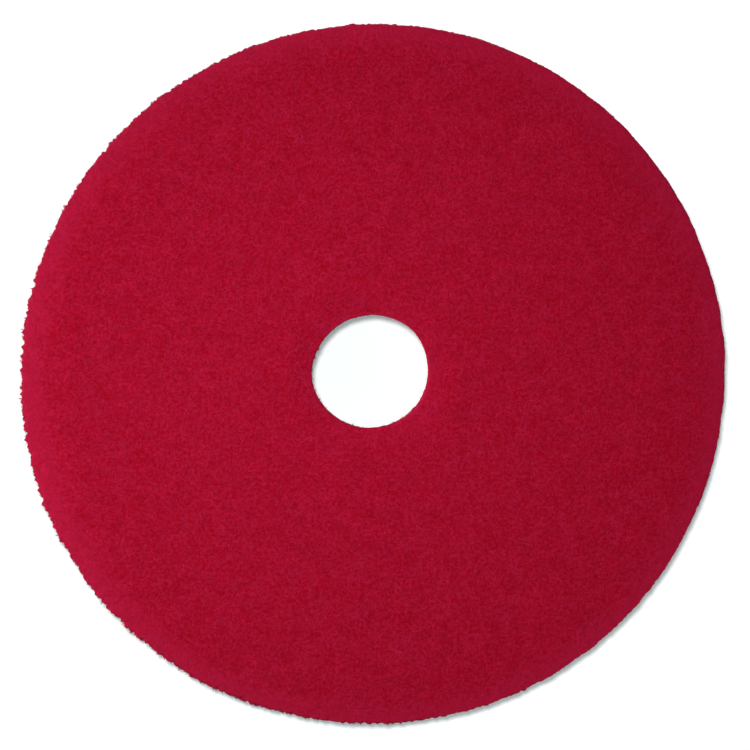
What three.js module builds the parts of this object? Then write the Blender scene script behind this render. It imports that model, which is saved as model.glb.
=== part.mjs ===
// Round floor pad for a rotary floor machine: one die-cut disc of lofty nonwoven web with a centre hole.
// Millimetres, +Z up. The origin is the middle of the face that lies on the floor, on the disc's own axis.

import * as THREE from "three";

// Driving dimensions. Floor pads and the drivers that carry them are made to inch sizes.
const INCH = 25.4;
const PAD_DIAMETER = 20 * INCH;
const HOLE_DIAMETER = 3.25 * INCH;
const THICKNESS = 1 * INCH;

// The cutting die squeezes the web, so each face falls away towards the rim and, less, towards the hole.
const RIM_ROLL = { width: 28, drop: 2.6, steps: 6 };
const HOLE_ROLL = { width: 20, drop: 1.4, steps: 4 };

// The fibres that the die shears leave a small soft corner where a face meets a cut wall.
const RIM_CORNER = { radius: 1.2, steps: 3 };
const HOLE_CORNER = { radius: 1.0, steps: 2 };

// Facets around the disc. 96 keeps the rim within 0.14 mm of a true circle.
const AROUND = 96;

const RIM_RADIUS = PAD_DIAMETER / 2;
const HOLE_RADIUS = HOLE_DIAMETER / 2;
const MID_HEIGHT = THICKNESS / 2;

// Half the cross-section of one cut edge, above the middle of the web, from the flat face down to the wall.
// wallRadius is where the wall stands, and outward is +1 at the rim and -1 at the hole.
function edgeProfile(wallRadius, outward, roll, corner) {
  const points = [];
  const start = wallRadius - outward * roll.width;
  const end = wallRadius - outward * corner.radius;

  // The face falls away as a parabola, so it leaves the flat with no crease.
  for (let i = 0; i <= roll.steps; i++) {
    const r = start + ((end - start) * i) / roll.steps;
    const share = Math.abs(r - start) / roll.width;
    points.push(new THREE.Vector2(r, MID_HEIGHT - roll.drop * share ** 2));
  }

  // A quarter round turns the face down into the wall.
  const face = points.at(-1);
  for (let i = 1; i <= corner.steps; i++) {
    const turn = ((Math.PI / 2) * i) / corner.steps;
    const r = end + outward * corner.radius * Math.sin(turn);
    points.push(new THREE.Vector2(r, face.y - corner.radius * (1 - Math.cos(turn))));
  }
  return points;
}

// The same points below the middle of the web.
function flipped(points) {
  return points.map((p) => new THREE.Vector2(p.x, -p.y));
}

// The whole closed cross-section: up the rim wall, in over the top face, down the hole, out under the bottom face.
function padProfile() {
  const rim = edgeProfile(RIM_RADIUS, 1, RIM_ROLL, RIM_CORNER);
  const hole = edgeProfile(HOLE_RADIUS, -1, HOLE_ROLL, HOLE_CORNER);
  const loop = [...flipped(rim), ...[...rim].reverse(), ...hole, ...flipped(hole).reverse()];
  return [...loop, loop[0].clone()];
}

// The lathe turns the section about Y, so the disc is stood up along Z and lifted on to the floor.
function padGeometry() {
  const geometry = new THREE.LatheGeometry(padProfile(), AROUND);
  geometry.rotateX(Math.PI / 2);
  geometry.translate(0, 0, MID_HEIGHT);
  return geometry;
}

const redNonwoven = new THREE.MeshStandardMaterial({ color: 0x9e0f2a, roughness: 0.95, metalness: 0 });

const floorPad = new THREE.Mesh(padGeometry(), redNonwoven);
floorPad.name = "floor_pad";

const part = new THREE.Group();
part.add(floorPad);

export default part;
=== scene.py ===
"""Looks of a red nonwoven floor pad: a bonded web of fibres, with loose fibres on its faces and walls."""

import math

import bpy
import numpy as np
from mathutils import Matrix, Vector, noise


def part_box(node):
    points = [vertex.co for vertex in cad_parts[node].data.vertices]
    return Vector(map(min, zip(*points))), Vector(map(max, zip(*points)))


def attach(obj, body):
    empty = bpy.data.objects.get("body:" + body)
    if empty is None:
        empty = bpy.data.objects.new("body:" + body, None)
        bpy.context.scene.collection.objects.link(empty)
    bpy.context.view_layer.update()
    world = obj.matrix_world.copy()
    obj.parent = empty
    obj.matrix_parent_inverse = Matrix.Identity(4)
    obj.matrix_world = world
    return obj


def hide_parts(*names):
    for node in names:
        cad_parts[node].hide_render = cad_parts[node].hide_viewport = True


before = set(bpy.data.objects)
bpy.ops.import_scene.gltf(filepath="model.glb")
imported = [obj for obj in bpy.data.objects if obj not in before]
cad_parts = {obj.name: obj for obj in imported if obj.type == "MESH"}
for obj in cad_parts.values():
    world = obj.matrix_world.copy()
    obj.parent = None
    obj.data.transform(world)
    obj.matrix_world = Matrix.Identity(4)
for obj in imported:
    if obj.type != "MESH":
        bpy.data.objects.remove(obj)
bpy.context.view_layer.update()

NODE = "floor_pad"
BODY = "root"
MM = 0.001

# The disc's own sizes, in metres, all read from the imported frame.
LOW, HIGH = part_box(NODE)
RIM_RADIUS = (HIGH.x - LOW.x) / 2
THICKNESS = HIGH.z - LOW.z
MID_HEIGHT = (HIGH.z + LOW.z) / 2
HOLE_RADIUS = min(math.hypot(v.co.x, v.co.y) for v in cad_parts[NODE].data.vertices)
CENTRE = Vector(((LOW.x + HIGH.x) / 2, (LOW.y + HIGH.y) / 2, LOW.z))


# ---------------------------------------------------------------- camera, light and floor

def make_camera():
    """Looks almost straight down, from a little to the upper left, with +Y up in the picture."""
    view_width = 0.5437   # metres across the picture at the pad
    distance = 14.0
    lean = math.radians(2.7)
    towards = math.radians(125.0)
    off_centre = Vector((1.15 * MM, -0.45 * MM, 0))
    back = Vector((math.sin(lean) * math.cos(towards), math.sin(lean) * math.sin(towards), math.cos(lean)))
    up = (Vector((0, 1, 0)) - back * back.y).normalized()
    right = up.cross(back)
    target = CENTRE + off_centre + Vector((0, 0, MID_HEIGHT))

    data = bpy.data.cameras.new("camera")
    data.sensor_width = 36.0
    data.lens = data.sensor_width * distance / view_width
    camera = bpy.data.objects.new("camera", data)
    bpy.context.scene.collection.objects.link(camera)
    place = Matrix((right, up, back)).transposed().to_4x4()
    place.translation = target + back * distance
    camera.matrix_world = place
    bpy.context.scene.camera = camera


# What a flagged light falls on: the pad's pieces, and not the floor.
ONLY_PAD = bpy.data.collections.new("only_pad")


def aim(obj, place, target):
    """Stands obj at place and points its -Z at target."""
    obj.location = place
    obj.rotation_mode = "QUATERNION"
    obj.rotation_quaternion = (Vector(target) - Vector(place)).to_track_quat("-Z", "Y")


def softbox(name, place, size, power):
    """A square area light facing the middle of the pad, itself unseen and flagged off the floor."""
    data = bpy.data.lights.new(name, "AREA")
    data.shape = "SQUARE"
    data.size = size
    data.energy = power
    lamp = bpy.data.objects.new(name, data)
    lamp.visible_camera = False
    lamp.light_linking.receiver_collection = ONLY_PAD
    bpy.context.scene.collection.objects.link(lamp)
    aim(lamp, CENTRE + Vector(place), CENTRE)


def make_room():
    """A pale room: white round the horizon and dimmer overhead, so that the softboxes shape the pad."""
    horizon, overhead = 1.06, 0.12
    dims_from, dims_to = 0.2, 0.4   # where the room starts and stops dimming, as the Z of the way looked
    world = bpy.data.worlds.new("pale_room")
    world.use_nodes = True
    nodes, links = world.node_tree.nodes, world.node_tree.links
    background = nodes["Background"]
    background.inputs["Color"].default_value = (0.95, 1.0, 1.0, 1)
    direction = nodes.new("ShaderNodeSeparateXYZ")
    links.new(nodes.new("ShaderNodeTexCoord").outputs["Generated"], direction.inputs[0])
    falloff = nodes.new("ShaderNodeMapRange")
    links.new(direction.outputs["Z"], falloff.inputs["Value"])
    spans = (("From Min", dims_from), ("From Max", dims_to), ("To Min", horizon), ("To Max", overhead))
    for key, value in spans:
        falloff.inputs[key].default_value = value
    links.new(falloff.outputs[0], background.inputs["Strength"])
    bpy.context.scene.world = world


def make_lights():
    """A high, slightly soft sun from the upper left for the shadow, and softboxes.

    The softboxes stand on the left and overhead. Two very low ones, above and below in the picture, just
    catch the cut edge.
    """
    high = bpy.data.lights.new("high_sun", "SUN")
    high.energy = 2.2
    high.color = (1.0, 0.97, 0.96)
    high.angle = math.radians(10)
    sun = bpy.data.objects.new("high_sun", high)
    bpy.context.scene.collection.objects.link(sun)
    aim(sun, CENTRE + Vector((-0.112, 0.196, 1.0)), CENTRE)
    softbox("left_softbox", (-0.84, -0.10, 0.33), size=0.36, power=6.6)
    softbox("top_softbox", (-0.04, 0.03, 0.30), size=0.30, power=0.38)
    softbox("upper_edge_softbox", (-0.24, 0.82, 0.055), size=0.25, power=3.0)
    softbox("lower_edge_softbox", (0.62, -0.60, 0.055), size=0.20, power=2.0)


def make_floor():
    """A plain, nearly white studio floor that glows a little, as a light table does, to keep shadows pale."""
    reach = 4.0
    mesh = bpy.data.meshes.new("studio_floor")
    corners = [(-reach, -reach, 0), (reach, -reach, 0), (reach, reach, 0), (-reach, reach, 0)]
    mesh.from_pydata([CENTRE + Vector(c) for c in corners], [], [(0, 1, 2, 3)])
    floor = bpy.data.objects.new("studio_floor", mesh)
    bpy.context.scene.collection.objects.link(floor)
    material = bpy.data.materials.new("floor_white")
    material.use_nodes = True
    shader = material.node_tree.nodes["Principled BSDF"]
    shader.inputs["Base Color"].default_value = (0.94, 0.97, 0.97, 1)
    shader.inputs["Roughness"].default_value = 0.9
    shader.inputs["Specular IOR Level"].default_value = 0.0
    shader.inputs["Emission Color"].default_value = (0.7, 1.0, 1.0, 1)
    shader.inputs["Emission Strength"].default_value = 0.30
    mesh.materials.append(material)


def set_view():
    """Plain colour handling, so that the reds aren't bent by a film look."""
    view = bpy.context.scene.view_settings
    view.view_transform = "Standard"
    view.look = "None"
    view.exposure = 0.0
    view.gamma = 1.0


# ---------------------------------------------------------------- the web's body

COVER = 0.09 * MM          # depth of loose fibres over the bonded body
SECTION_STEP = 0.25 * MM   # how finely the cross-section is followed
SECTION_BLUR = 1.2 * MM    # how far its corners are softened
FACE_STEP = 3.0 * MM       # mesh spacing on the faces
EDGE_STEP = 1.5 * MM       # and near the rim and the hole
RIM_ZONE = 10 * MM
HOLE_ZONE = 6 * MM
COLUMNS = ((0.232, 1024), (0.120, 512), (0.0, 256))   # from this radius out, in metres, this many columns
REST_GAP = 0.1 * MM        # the body's skin and the fibres' middles stay this far off the floor
EDGE_REACH = 25 * MM       # how far in from a cut edge its unevenness is felt
HOLE_SLIP = (-2.1 * MM, 2.2 * MM)   # how far the die cut the hole off the middle
NOTCH_SQUASH = 0.2         # how fast the rim's notches change with height, next to how fast they do round it

# The faces' extra fall at the rim, where the die pulled most, and all round the hole.
RIM_PINCH = {"width": 40 * MM, "drop": 2.4 * MM}
HOLE_PINCH = {"width": 24 * MM, "drop": 1.3 * MM}

# The faces' lumps, as (height in millimetres, width in metres, seed, octaves).
LUMPS = ((0.10, 55 * MM, 5, 2), (0.03, 14 * MM, 6, 2), (0.03, 5 * MM, 7, 3))

# How the cut outlines wander off a circle, as (waves round the edge, height in metres, degrees to a crest).
RIM_WAVES = ((2, 1.17 * MM, 26), (3, 0.26 * MM, 81), (4, 0.15 * MM, 38), (5, 0.13 * MM, 14))
HOLE_WAVES = ((2, 0.80 * MM, 20), (3, 0.27 * MM, 63), (5, 0.16 * MM, 44))
HOLE_GROWTH = 0.55 * MM    # the hole springs open this much after the cut


def cad_section():
    """The CAD disc's cross-section as a closed loop of (radius, height), in order round its middle."""
    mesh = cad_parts[NODE].data
    places = {(round(math.hypot(v.co.x, v.co.y), 6), round(v.co.z, 6)) for v in mesh.vertices}
    middle = (RIM_RADIUS + HOLE_RADIUS) / 2
    return np.array(sorted(places, key=lambda p: math.atan2(p[1] - MID_HEIGHT, p[0] - middle)))


def along_loop(loop, step):
    """The closed loop resampled evenly."""
    closed = np.vstack([loop, loop[:1]])
    length = np.concatenate([[0], np.cumsum(np.linalg.norm(np.diff(closed, axis=0), axis=1))])
    count = int(round(length[-1] / step))
    at = np.arange(count) * length[-1] / count
    return np.column_stack([np.interp(at, length, closed[:, k]) for k in range(2)])


def softened(loop, reach):
    """The closed loop after a round average over reach."""
    half = max(1, int(round(reach / SECTION_STEP / 2)))
    weights = np.hanning(2 * half + 3)[1:-1]
    weights /= weights.sum()
    padded = np.vstack([loop[-half:], loop, loop[:half]])
    return np.column_stack([np.convolve(padded[:, k], weights, "valid") for k in range(2)])


def loop_normals(loop):
    """The outward normals of a loop that runs anticlockwise in radius and height."""
    along = np.roll(loop, -1, axis=0) - np.roll(loop, 1, axis=0)
    along /= np.linalg.norm(along, axis=1)[:, None]
    return np.column_stack([along[:, 1], -along[:, 0]])


class Skin:
    """The pad's outer skin, as a cross-section loop turned about the disc's axis and then made uneven."""

    def __init__(self):
        self.loop = softened(along_loop(cad_section(), SECTION_STEP), SECTION_BLUR)
        self.normals = loop_normals(self.loop)
        self.count = len(self.loop)

    def at(self, along, turn, lift):
        """Points and normals at places along the loop, turned by these angles and lifted off the skin."""
        index = (np.asarray(along) / SECTION_STEP) % self.count
        low = np.floor(index).astype(int)
        part = (index - low)[..., None]
        low, high = low % self.count, (low + 1) % self.count
        spot = self.loop[low] * (1 - part) + self.loop[high] * part
        facing = self.normals[low] * (1 - part) + self.normals[high] * part
        spot = spot + facing * np.asarray(lift)[..., None]
        points = turned(spot, turn)
        normals = turned(facing, turn)
        flat = zip(points.reshape(-1, 3), normals.reshape(-1, 3))
        moved = np.array([organic(p, n) for p, n in flat])
        return moved.reshape(points.shape), normals

    def radius_at(self, along):
        index = (np.asarray(along) / SECTION_STEP).astype(int) % self.count
        return self.loop[index, 0]


def turned(pairs, turn):
    """(radius, height) pairs as points at these angles round the axis."""
    x, y = pairs[..., 0] * np.cos(turn), pairs[..., 0] * np.sin(turn)
    return np.stack([x, y, pairs[..., 1]], axis=-1)


def body_rings(skin):
    """The rings of the body's mesh: (place along the loop, columns) pairs."""
    rings, gone = [], 0.0
    for k, (radius, _) in enumerate(skin.loop):
        gone -= SECTION_STEP
        if gone > 0:
            continue
        near_edge = radius > RIM_RADIUS - RIM_ZONE or radius < HOLE_RADIUS + HOLE_ZONE
        gone = EDGE_STEP if near_edge else FACE_STEP
        rings.append((k * SECTION_STEP, next(n for start, n in COLUMNS if radius >= start)))
    return rings


def stitch(a, na, b, nb):
    """Faces between two rings that start at vertices a and b.

    They have na and nb columns: the same number, or one has double the other's.
    """
    ia, ib = np.arange(na), np.arange(nb)
    if na == nb:
        quads = np.column_stack([a + ia, a + (ia + 1) % na, b + (ib + 1) % nb, b + ib])
        return quads.tolist()
    if na == 2 * nb:
        first, middle, last = a + 2 * ib, a + 2 * ib + 1, a + (2 * ib + 2) % na
        near, far = b + ib, b + (ib + 1) % nb
        fans = [(first, middle, near), (middle, far, near), (middle, last, far)]
    else:
        first, middle, last = b + 2 * ia, b + 2 * ia + 1, b + (2 * ia + 2) % nb
        near, far = a + ia, a + (ia + 1) % na
        fans = [(near, middle, first), (near, far, middle), (far, last, middle)]
    return [face for fan in fans for face in np.column_stack(fan).tolist()]


def swing(place, size, seed, octaves=3):
    """Smooth noise from about -1 to 1, with bumps about size wide."""
    at = (place[0] / size + seed * 17.3, place[1] / size + seed * 5.1, place[2] / size + seed * 9.7)
    return noise.fractal(at, 0.9, 2.1, octaves, noise_basis="PERLIN_ORIGINAL")


def roughness_at(angle):
    """How ragged the die left the rim: most on the left and lower left, least on the right."""
    return 0.6 + 0.4 * np.cos(angle - math.radians(195))


def pull_at(angle):
    """How hard the die pulled the faces down at the rim, from 0 on the right to 1 on the left."""
    return 0.5 + 0.5 * math.cos(angle - math.radians(185))


def eased(share):
    """share held between 0 and 1, with a soft start and end."""
    share = min(1.0, max(0.0, share))
    return share * share * (3 - 2 * share)


def waved(waves, angle):
    """How far out an outline with these waves lies at this angle."""
    return sum(height * math.cos(count * (angle - math.radians(crest))) for count, height, crest in waves)


def organic(place, normal):
    """Where a point of the ideal disc's skin really lies: a soft web is never quite flat or round."""
    x, y, z = place
    radius, angle = math.hypot(x, y), math.atan2(y, x)
    out_x, out_y = x / radius, y / radius
    rim = max(0.0, 1 - (RIM_RADIUS - radius) / EDGE_REACH)
    hole = max(0.0, 1 - (radius - HOLE_RADIUS) / EDGE_REACH)
    push = rim * waved(RIM_WAVES, angle) + hole * (waved(HOLE_WAVES, angle) + HOLE_GROWTH)
    ragged = roughness_at(angle)
    if rim > 0:
        notches = 2.9 * swing((x, y, NOTCH_SQUASH * z), 2.5 * MM, 2, 2) + 0.8 * swing(place, 4 * MM, 8)
        push += rim * MM * (0.7 * swing(place, 18 * MM, 1, 2) + ragged**1.5 * notches)
    if hole > 0:
        push += hole * MM * (0.25 * swing(place, 12 * MM, 3, 2) + 0.15 * swing(place, 4 * MM, 4))
    lumps = sum(height * swing(place, width, seed, octaves) for height, width, seed, octaves in LUMPS)
    pinched = eased(1 - (RIM_RADIUS - radius) / RIM_PINCH["width"]) * RIM_PINCH["drop"] * pull_at(angle)
    pinched += eased(1 - (radius - HOLE_RADIUS) / HOLE_PINCH["width"]) * HOLE_PINCH["drop"]
    fall = pinched * (MID_HEIGHT - z) / MID_HEIGHT
    lift = lumps * MM
    x += out_x * push + normal[0] * lift + HOLE_SLIP[0] * hole
    y += out_y * push + normal[1] * lift + HOLE_SLIP[1] * hole
    return x, y, max(z + fall + normal[2] * lift, LOW.z + REST_GAP)


def mesh_object(name, points, faces, smooth=True):
    """A new object in the scene from points and faces."""
    mesh = bpy.data.meshes.new(name)
    mesh.from_pydata(points.tolist(), [], faces)
    if smooth:
        mesh.shade_smooth()
    else:
        mesh.shade_flat()
    mesh.validate()
    made = bpy.data.objects.new(name, mesh)
    bpy.context.scene.collection.objects.link(made)
    return made


def make_body(skin):
    """The bonded web: a closed skin that follows the CAD disc's section and is lumpy like felt."""
    rings = body_rings(skin)
    points, starts, faces = [], [], []
    count = 0
    for along, columns in rings:
        turn = 2 * math.pi * np.arange(columns) / columns
        ring, _ = skin.at(np.full(columns, along), turn, np.full(columns, -COVER))
        points.append(ring)
        starts.append(count)
        count += columns
    for i, (_, columns) in enumerate(rings):
        j = (i + 1) % len(rings)
        faces += stitch(starts[i], columns, starts[j], rings[j][1])
    return mesh_object("web_body", np.vstack(points), faces)


# ---------------------------------------------------------------- loose fibres

FIBRE_RADIUS = 0.16 * MM  # about half a fibre's width
FLATTENED = 0.45          # a fibre's height over its width, because the web was pressed
POINTS = 7                # points along each fibre
TUFT = 5                  # cut ends in each tuft
MOST_TRIANGLES = 198000   # in one piece
FACE_SLOPE = 0.7          # where the skin's normal is at least this upright, it is a face and not a wall


def zone_places(skin, zone):
    """Which samples of the loop belong to a zone of the skin."""
    up = skin.normals[:, 1]
    wall = abs(up) <= FACE_SLOPE
    outer = skin.loop[:, 0] > (RIM_RADIUS + HOLE_RADIUS) / 2
    zones = {"top": up > FACE_SLOPE, "bottom": up < -FACE_SLOPE, "rim": wall & outer, "hole": wall & ~outer}
    return zones[zone]


def seeds(skin, zone, count, rng):
    """Places along the loop and turns, spread evenly over the zone's area."""
    places = np.flatnonzero(zone_places(skin, zone))
    weight = skin.loop[places, 0]
    along = (rng.choice(places, count, p=weight / weight.sum()) + rng.random(count)) * SECTION_STEP
    return along, rng.random(count) * 2 * math.pi


def lying_fibres(skin, zone, count, length, loft, grain, rng):
    """Crimped fibres that lie on the skin, dipping into it and arching up along their length.

    grain squeezes their headings towards the way round the disc: 1 is any way, 0 is all round it.
    """
    along, turn = seeds(skin, zone, count, rng)
    t = np.linspace(0, 1, POINTS)
    size = length * rng.uniform(0.6, 1.4, count)
    heading = rng.uniform(-math.pi / 2, math.pi / 2, count) * grain + math.pi / 2
    heading = heading + math.pi * rng.integers(0, 2, count)
    bend = rng.normal(0, 1.1, count)
    crimp = rng.uniform(0.2, 0.8, count)
    phase = rng.uniform(0, 2 * math.pi, count)
    way = heading[:, None] + bend[:, None] * (t - 0.5) + crimp[:, None] * np.sin(9 * t + phase[:, None])
    step = (size / (POINTS - 1))[:, None]
    run_s = np.cumsum(np.cos(way) * step, axis=1)
    run_c = np.cumsum(np.sin(way) * step, axis=1)
    s = along[:, None] + run_s - run_s.mean(axis=1, keepdims=True)
    c = turn[:, None] + (run_c - run_c.mean(axis=1, keepdims=True)) / skin.radius_at(along)[:, None]
    rise = loft * rng.uniform(0.25, 1.0, count) ** 1.5
    arches = rng.uniform(0.8, 2.2, count)[:, None]
    start = rng.uniform(0, 0.3, count)[:, None]
    arch = np.abs(np.sin(math.pi * (t * arches + start)))
    lift = -COVER * 0.9 + (rise[:, None] + COVER * 0.9) * arch
    return skin.at(s, c, lift)


def standing_fibres(skin, zone, count, length, rng):
    """Short cut ends that stand out of a wall in small tufts and curl over."""
    tufts = count // TUFT
    along, turn = (np.repeat(each, TUFT) for each in seeds(skin, zone, tufts, rng))
    count = tufts * TUFT
    along = along + rng.normal(0, 0.4 * MM, count)
    turn = turn + rng.normal(0, 0.4 * MM, count) / skin.radius_at(along)
    t = np.linspace(0, 1, POINTS)
    size = length * np.repeat(rng.uniform(0.5, 1.3, tufts), TUFT) * (0.4 + roughness_at(turn))
    heading = np.repeat(rng.uniform(0, 2 * math.pi, tufts), TUFT) + rng.normal(0, 0.5, count)
    lean = rng.uniform(0.2, 1.3, count)
    reach = size[:, None] * (1 - np.cos(lean[:, None] * t)) * 0.9
    s = along[:, None] + np.cos(heading)[:, None] * reach
    c = turn[:, None] + np.sin(heading)[:, None] * reach / skin.radius_at(along)[:, None]
    lift = -COVER * 2 + size[:, None] * np.sin(lean[:, None] * t) / lean[:, None] + COVER * 1.2 * t
    return skin.at(s, c, lift)


def tube_faces(count):
    """The faces of count three-sided closed tubes, each POINTS rings long."""
    ring = np.arange(3)
    quads = []
    for k in range(POINTS - 1):
        a, b = 3 * k + ring, 3 * k + (ring + 1) % 3
        quads.append(np.column_stack([a, b, b + 3, a + 3]))
    quads = np.vstack(quads)
    last = 3 * (POINTS - 1)
    caps = np.array([[2, 1, 0], [last, last + 1, last + 2]])
    offsets = (np.arange(count) * 3 * POINTS)[:, None, None]
    return (quads[None] + offsets).reshape(-1, 4).tolist() + (caps[None] + offsets).reshape(-1, 3).tolist()


def make_fibres(name, paths, rng):
    """A piece of separate closed tubes, one along each path of points, with a shade of its own for each."""
    points, normals = paths
    count = len(points)
    along = np.gradient(points, axis=1)
    along /= np.linalg.norm(along, axis=2, keepdims=True)
    side = np.cross(along, normals)
    side /= np.linalg.norm(side, axis=2, keepdims=True)
    over = np.cross(side, along)
    tip = 0.45
    taper = np.array([tip] + [1.0] * (POINTS - 2) + [tip])
    radius = FIBRE_RADIUS * rng.uniform(0.7, 1.25, count)[:, None] * taper
    rings = []
    for corner in range(3):
        angle = math.pi / 2 - corner * 2 * math.pi / 3
        offset = math.cos(angle) * side + FLATTENED * math.sin(angle) * over
        rings.append(points + radius[..., None] * offset)
    vertices = np.stack(rings, axis=2).reshape(-1, 3)
    piece = mesh_object(name, vertices, tube_faces(count), smooth=False)
    shade = piece.data.attributes.new("shade", "FLOAT", "POINT")
    shade.data.foreach_set("value", np.repeat(rng.random(count), 3 * POINTS).astype(np.float32))
    return piece


def joined(*sets):
    """Several sets of paths as one."""
    return tuple(np.concatenate([s[k] for s in sets]) for k in range(2))


def make_all_fibres(skin):
    """Every piece of loose fibre: a few mats on each face, and the lying and cut fibres of the two walls."""
    rng = np.random.default_rng(20)
    tube_triangles = 6 * (POINTS - 1) + 2
    per_piece = MOST_TRIANGLES // tube_triangles
    pieces = []
    for zone in ("top", "bottom"):
        for k in range(4):
            paths = lying_fibres(skin, zone, per_piece, length=11 * MM, loft=0.11 * MM, grain=1.0, rng=rng)
            pieces.append(make_fibres(f"{zone}_fibres_{k + 1}", paths, rng))
    on_rim, stubs_on_rim = int(per_piece * 0.6), int(per_piece * 0.4)
    lying = lying_fibres(skin, "rim", on_rim, length=9 * MM, loft=0.35 * MM, grain=0.35, rng=rng)
    stubs = standing_fibres(skin, "rim", stubs_on_rim, length=0.9 * MM, rng=rng)
    pieces.append(make_fibres("rim_fibres", joined(lying, stubs), rng))
    in_hole, stubs_in_hole = int(per_piece * 0.12), int(per_piece * 0.08)
    lying = lying_fibres(skin, "hole", in_hole, length=8 * MM, loft=0.4 * MM, grain=0.35, rng=rng)
    stubs = standing_fibres(skin, "hole", stubs_in_hole, length=1.0 * MM, rng=rng)
    pieces.append(make_fibres("hole_fibres", joined(lying, stubs), rng))
    return pieces


# ---------------------------------------------------------------- materials

class Nodes:
    """A short way to write a material's nodes."""

    def __init__(self, name):
        self.material = bpy.data.materials.new(name)
        self.material.use_nodes = True
        self.tree = self.material.node_tree
        self.shader = self.tree.nodes["Principled BSDF"]

    def add(self, kind, inputs=(), **settings):
        """A node of a kind, with settings and with inputs given as (name or number, value or output)."""
        node = self.tree.nodes.new("ShaderNode" + kind)
        for key, value in settings.items():
            setattr(node, key, value)
        for key, value in inputs:
            self.plug(node.inputs[key], value)
        return node

    def plug(self, socket, value):
        if isinstance(value, bpy.types.NodeSocket):
            self.tree.links.new(value, socket)
        else:
            socket.default_value = value

    def math(self, operation, a, b=0.0, clamp=False):
        return self.add("Math", ((0, a), (1, b)), operation=operation, use_clamp=clamp).outputs[0]

    def ramp(self, value, low, high, to_low, to_high, curve="LINEAR"):
        """value taken from the range low to high into another range, and held there."""
        source = (("Value", value), ("From Min", low), ("From Max", high))
        result = (("To Min", to_low), ("To Max", to_high))
        return self.add("MapRange", source + result, interpolation_type=curve).outputs[0]

    def spread(self, value, low, high, to_low, to_high):
        """The same as ramp, with a soft start and end."""
        return self.ramp(value, low, high, to_low, to_high, curve="SMOOTHSTEP")

    def blend(self, share, a, b):
        """a where share is 0, b where it is 1."""
        return self.add("Mix", ((0, share), (2, a), (3, b)), data_type="FLOAT").outputs[0]

    def noise(self, vector, scale, detail=2.0, roughness=0.5):
        keys = (("Vector", vector), ("Scale", scale), ("Detail", detail), ("Roughness", roughness))
        return self.add("TexNoise", keys)

    def vector(self, operation, a, b):
        keys = ((0, a), (1, b)) if operation != "SCALE" else ((0, a), ("Scale", b))
        return self.add("VectorMath", keys, operation=operation).outputs[0]


def strands(nodes, place):
    """Height of a mat of long fibres laid flat in four directions: a solid pattern, 0 in the gaps to 1.

    Each layer is a stretched noise whose contour lines are the fibres, and the layers lie over each other.
    """
    run, spread, depth = 16, 3.4, 2.2   # the size of the noise's bumps, in millimetres
    lines, width = 6.0, 0.2             # contour lines over the noise's whole range, and a line's half width
    highest = None
    for layer, (degrees, level) in enumerate(((8, 1.0), (98, 0.86), (53, 0.74), (143, 0.62))):
        heading = ("Rotation", (0, 0, math.radians(degrees)))
        apart = ("Location", (0, 37 * layer, 11 * layer))
        lengthwise = nodes.add("Mapping", (("Vector", place), heading, apart)).outputs[0]
        laid = nodes.vector("MULTIPLY", lengthwise, (1 / run, 1 / spread, 1 / depth))
        field = nodes.noise(laid, 1.0, 1.0, 0.6).outputs["Fac"]
        beside = nodes.math("PINGPONG", nodes.math("MULTIPLY", field, lines), 0.5)
        line = nodes.spread(beside, 0.0, width, level, 0.0)
        highest = line if highest is None else nodes.math("MAXIMUM", highest, line)
    return highest


def clouds(nodes, place):
    """Uneven laying of the web, mostly in specks a few millimetres wide, from 0 to 1 about a half."""
    specks = nodes.math("MULTIPLY", nodes.noise(place, 1 / 2.5, 1.0, 1.0).outputs["Fac"], 0.8)
    patches = nodes.math("MULTIPLY", nodes.noise(place, 1 / 10, 1.0, 0.6).outputs["Fac"], 0.2)
    return nodes.math("ADD", specks, patches)


def from_axis(nodes, place, middle=(0, 0)):
    """Distance from the upright axis through middle, in millimetres like place."""
    across = nodes.vector("MULTIPLY", nodes.vector("SUBTRACT", place, (*middle, 0)), (1, 1, 0))
    return nodes.add("VectorMath", ((0, across),), operation="LENGTH").outputs["Value"]


def pressed(nodes, place):
    """How far the die pressed the web, from 0 on the open face to 1 at the rim, and less at the hole."""
    rim_width, hole_width, at_hole = 24, 16, 0.45   # two widths in millimetres, and how far at the hole
    radius = from_axis(nodes, place)
    rim = nodes.spread(radius, RIM_RADIUS / MM - rim_width, RIM_RADIUS / MM, 0.0, 1.0)
    hole = nodes.spread(radius, HOLE_RADIUS / MM, HOLE_RADIUS / MM + hole_width, at_hole, 0.0)
    return nodes.math("MAXIMUM", rim, hole)


def hole_edge_painted_light(nodes, place):
    """Painted light: how much lighter the hole's wall and the face's last millimetres beside it are made."""
    start, end, painted_lift = 0.8, 2.6, 1.13   # from and to these millimetres outside the CAD's hole
    radius = from_axis(nodes, place, (HOLE_SLIP[0] / MM, HOLE_SLIP[1] / MM))
    return nodes.spread(radius, HOLE_RADIUS / MM + start, HOLE_RADIUS / MM + end, painted_lift, 1.0)


DEEP_RED = (0.214, 0.0003, 0.0068, 1)
PINK_RED = (0.282, 0.0066, 0.0345, 1)
PRESSED_PINK = 0.28       # how much pinker the web is where the die pressed it fully
PRESSED_EVEN = 0.6        # and how much of its unevenness is lost there


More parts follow.
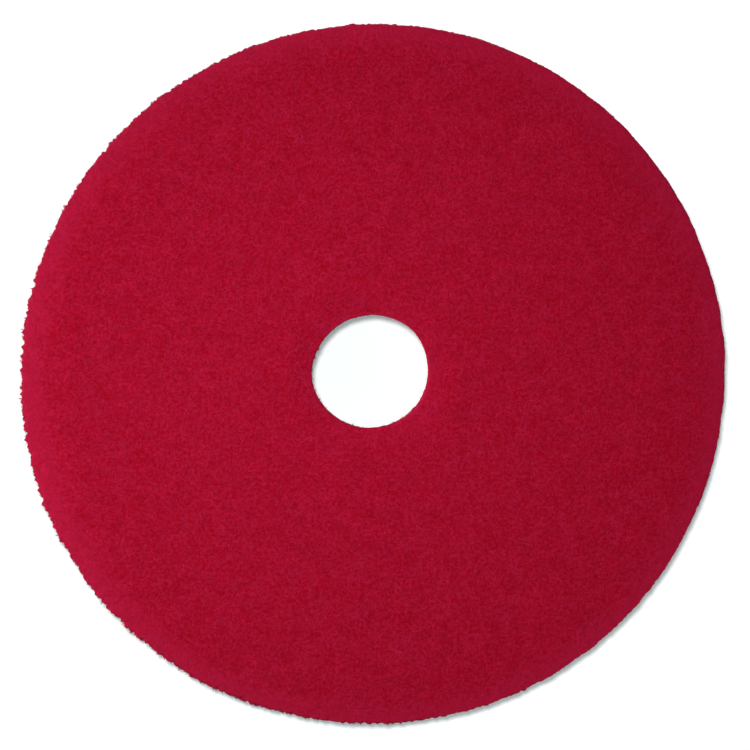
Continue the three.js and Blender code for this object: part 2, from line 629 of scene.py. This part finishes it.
def finish_fibre(nodes, place, own, own_weight, span, light):
    """Crimson fibre, matt with a little fuzz.

    How pink it is runs over span with the clouds and with what its own strand or fibre adds. light is its
    brightness, which also drifts with the web's thickness. The die's pressing makes it pinker and more even.
    """
    edge = pressed(nodes, place)
    even = nodes.ramp(edge, 0.0, 1.0, 0.0, PRESSED_EVEN)
    parts = nodes.math("ADD", nodes.math("MULTIPLY", own, own_weight), clouds(nodes, place))
    parts = nodes.blend(even, parts, 0.5 + own_weight / 2)
    pink = nodes.ramp(parts, 0.25, 0.75 + own_weight, *span)
    pink = nodes.math("ADD", pink, nodes.math("MULTIPLY", edge, PRESSED_PINK), clamp=True)
    colour = nodes.add("Mix", (("Factor", pink), (6, DEEP_RED), (7, PINK_RED)), data_type="RGBA").outputs[2]
    thickness = nodes.blend(even, nodes.noise(place, 1 / 12, 3.0, 0.65).outputs["Fac"], 0.5)
    # Painted light: the hole's wall and edge are made lighter, to lift the shade that falls on them.
    bright = nodes.math("MULTIPLY", hole_edge_painted_light(nodes, place), light)
    bright = nodes.math("MULTIPLY", bright, nodes.ramp(thickness, 0.3, 0.7, 0.935, 1.065))
    nodes.plug(nodes.shader.inputs["Base Color"], nodes.vector("SCALE", colour, bright))
    nodes.shader.inputs["Specular IOR Level"].default_value = 0.03
    nodes.shader.inputs["Sheen Weight"].default_value = 0.02
    nodes.shader.inputs["Sheen Roughness"].default_value = 0.5
    nodes.shader.inputs["Sheen Tint"].default_value = (1.0, 0.15, 0.35, 1)


def web_material():
    """The bonded body: a mat of fibres with deeper gaps between them, and clouds from its uneven laying."""
    nodes = Nodes("bonded_web")
    place = nodes.vector("SCALE", nodes.add("TexCoord").outputs["Object"], 1 / MM)
    strand = strands(nodes, place)
    grain = nodes.noise(place, 1 / 1.6, 2.0, 0.6).outputs["Fac"]
    # Painted shade: the strand pattern colours the gaps that the bump sinks a deeper red, and the strands
    # pinker.
    finish_fibre(nodes, place, strand, 0.25, (-0.475, 1.025), 1.08)
    nodes.plug(nodes.shader.inputs["Roughness"], nodes.spread(grain, 0.3, 0.7, 0.85, 0.98))
    height = nodes.math("ADD", strand, nodes.math("MULTIPLY", grain, 0.3))
    keys = (("Height", height), ("Strength", 0.6), ("Distance", 0.25 * MM))
    nodes.plug(nodes.shader.inputs["Normal"], nodes.add("Bump", keys).outputs[0])
    return nodes.material


def fibre_material():
    """Loose fibres: each with its own shade in the same clouds, a few quite pale, with a skin of resin."""
    nodes = Nodes("loose_fibre")
    place = nodes.vector("SCALE", nodes.add("TexCoord").outputs["Object"], 1 / MM)
    own = nodes.add("Attribute", attribute_name="shade").outputs["Fac"]
    # Painted light: loose fibres are made lighter than the body, to offset the shade on their flat sides.
    pale_flecks_and_painted_lift = nodes.spread(own, 0.975, 0.99, 1.15, 1.45)
    # The span and weight here also make them pinker than the body: painted light for what their fuzz catches.
    finish_fibre(nodes, place, own, 0.4, (-0.5, 1.5), pale_flecks_and_painted_lift)
    resin = nodes.noise(place, 1 / 0.6, 2.0).outputs["Fac"]
    nodes.plug(nodes.shader.inputs["Roughness"], nodes.spread(resin, 0.3, 0.7, 0.75, 0.95))
    keys = (("Height", resin), ("Strength", 0.4), ("Distance", 0.08 * MM))
    nodes.plug(nodes.shader.inputs["Normal"], nodes.add("Bump", keys).outputs[0])
    return nodes.material


# ---------------------------------------------------------------- the object

make_camera()
make_room()
make_lights()
make_floor()
set_view()

skin = Skin()
body = make_body(skin)
body.data.materials.append(web_material())
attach(body, BODY)
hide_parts(NODE)

loose = fibre_material()
ONLY_PAD.objects.link(body)
for piece in make_all_fibres(skin):
    ONLY_PAD.objects.link(piece)
    piece.data.materials.append(loose)
    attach(piece, BODY)
